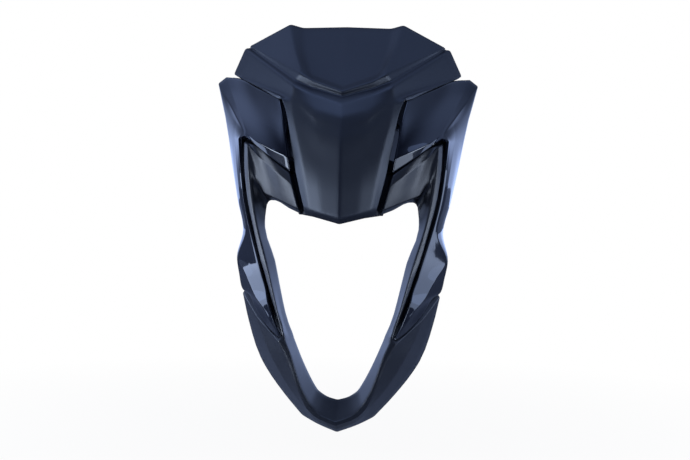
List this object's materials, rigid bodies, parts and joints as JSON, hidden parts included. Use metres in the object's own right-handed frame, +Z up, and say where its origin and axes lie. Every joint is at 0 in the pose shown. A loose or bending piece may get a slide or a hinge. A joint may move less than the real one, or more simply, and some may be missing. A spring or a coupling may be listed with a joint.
{
  "type": "headlight cowl",
  "caption": "Moulded headlight cowl of a small street motorcycle: matte centre cowl and surround, gloss side panels, with screws and rubber well nuts.",
  "frame": {"origin": "middle of the line between the two upper mounting holes, on the rear faces of their rubber flanges", "axes": "+X to the viewer's right, +Y to the rear of the cowl, +Z up"},
  "size_m": [0.2594, 0.1006, 0.3873],
  "materials": {
    "matte_black": "fine matte grain",
    "gloss_black": "high gloss",
    "satin_black": "satin grain",
    "zinc_steel": "zinc plated",
    "black_rubber": "matte",
    "brass": "turned"
  },
  "bodies": {
    "root": {"centre_cowl": "matte_black", "side_panel_left": "gloss_black", "side_panel_right": "gloss_black", "headlight_surround": "satin_black", "cowl_screws": "zinc_steel", "panel_screws_left": "zinc_steel", "panel_screws_right": "zinc_steel", "well_nut_rubbers": "black_rubber", "well_nut_inserts": "brass"}
  },
  "joints": []
}
